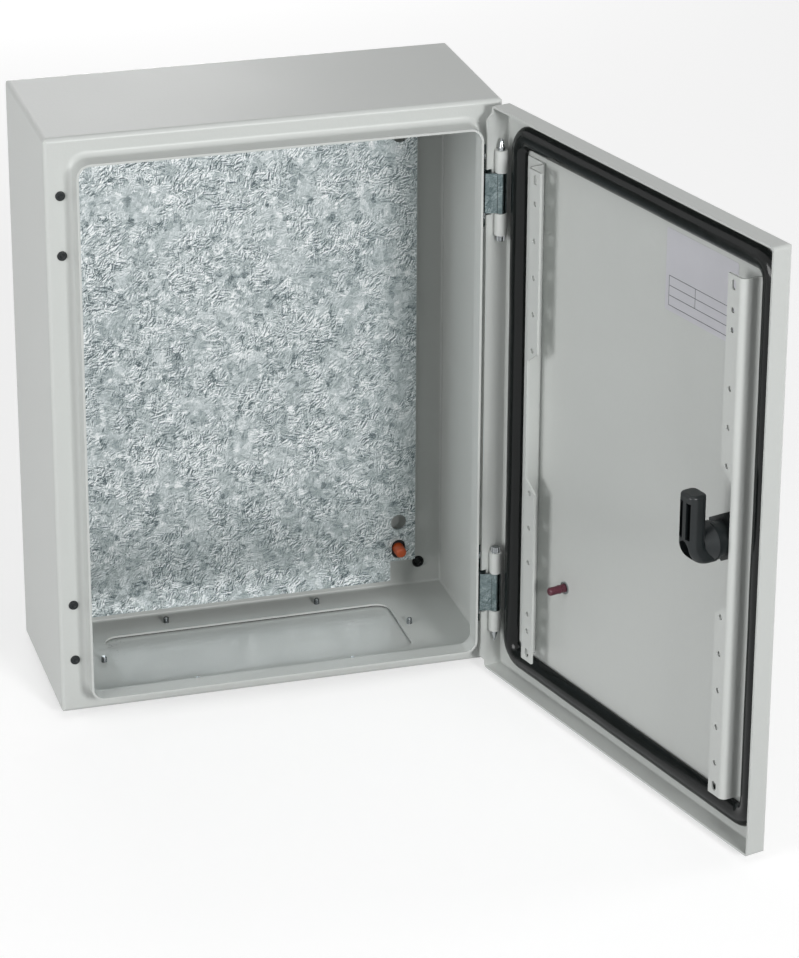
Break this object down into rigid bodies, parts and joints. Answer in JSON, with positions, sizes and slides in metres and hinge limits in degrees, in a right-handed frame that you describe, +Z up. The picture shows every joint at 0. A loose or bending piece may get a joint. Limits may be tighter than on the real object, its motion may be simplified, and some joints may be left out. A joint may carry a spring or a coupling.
{
  "type": "wall-mount electrical cabinet",
  "caption": "Shallow sheet-steel wall enclosure with a hinged, sealed door, quarter-turn lock, galvanised mounting plate and a cable-entry cover underneath.",
  "frame": {"origin": "middle of the rear face, which lies against the wall; also the middle of the wall-fixing holes", "axes": "+X to the right seen from the front, +Y into the wall, +Z up"},
  "size_m": [0.3793, 0.4261, 0.4049],
  "materials": {
    "painted_steel": "light grey textured powder coat",
    "galvanised_steel": "hot-dip galvanised, large bright spangle",
    "zinc_plated_steel": "zinc plated",
    "black_rubber": "soft black, slightly satin",
    "black_plastic": "black, fine satin",
    "orange_plastic": "orange moulded cap",
    "dark_red_plastic": "dark red moulded cap"
  },
  "bodies": {
    "cabinet": {"body_shell": "painted_steel", "mounting_plate": "galvanised_steel", "plate_studs": "zinc_plated_steel", "plate_spacers": "black_plastic", "stud_caps": "orange_plastic", "wall_bushes": "black_rubber", "flange_plugs": "black_plastic", "gland_plate": "painted_steel", "gland_gasket": "black_rubber", "gland_screws": "zinc_plated_steel", "upper_hinge_leaf": "zinc_plated_steel", "lower_hinge_leaf": "zinc_plated_steel", "hinge_screws": "zinc_plated_steel", "hinge_nuts": "zinc_plated_steel"},
    "door": {"door_panel": "painted_steel", "hinge_sleeves": "painted_steel", "upper_hinge_pin": "zinc_plated_steel", "lower_hinge_pin": "zinc_plated_steel", "door_gasket": "black_rubber", "hinge_side_rail": "painted_steel", "lock_side_rail": "painted_steel", "lock_housing": "black_plastic", "lock_seal": "black_rubber", "lock_nut": "black_plastic", "door_earth_stud": "zinc_plated_steel", "stud_washer": "zinc_plated_steel", "door_stud_cap": "dark_red_plastic"},
    "lock_cam": {"lock_spindle": "zinc_plated_steel", "lock_tongue": "black_plastic", "tongue_screw": "zinc_plated_steel"}
  },
  "joints": [
    {"name": "door_hinge", "type": "hinge", "parent": "cabinet", "child": "door", "pos_m": [0.1445, -0.1405, 0], "axis": [0, 0, 1], "range_deg": [-105, 15]},
    {"name": "lock_turn", "type": "hinge", "parent": "door", "child": "lock_cam", "pos_m": [0.21776, -0.383, 0], "axis": [0.9659, 0.2588, 0], "range_deg": [0, 90]}
  ]
}
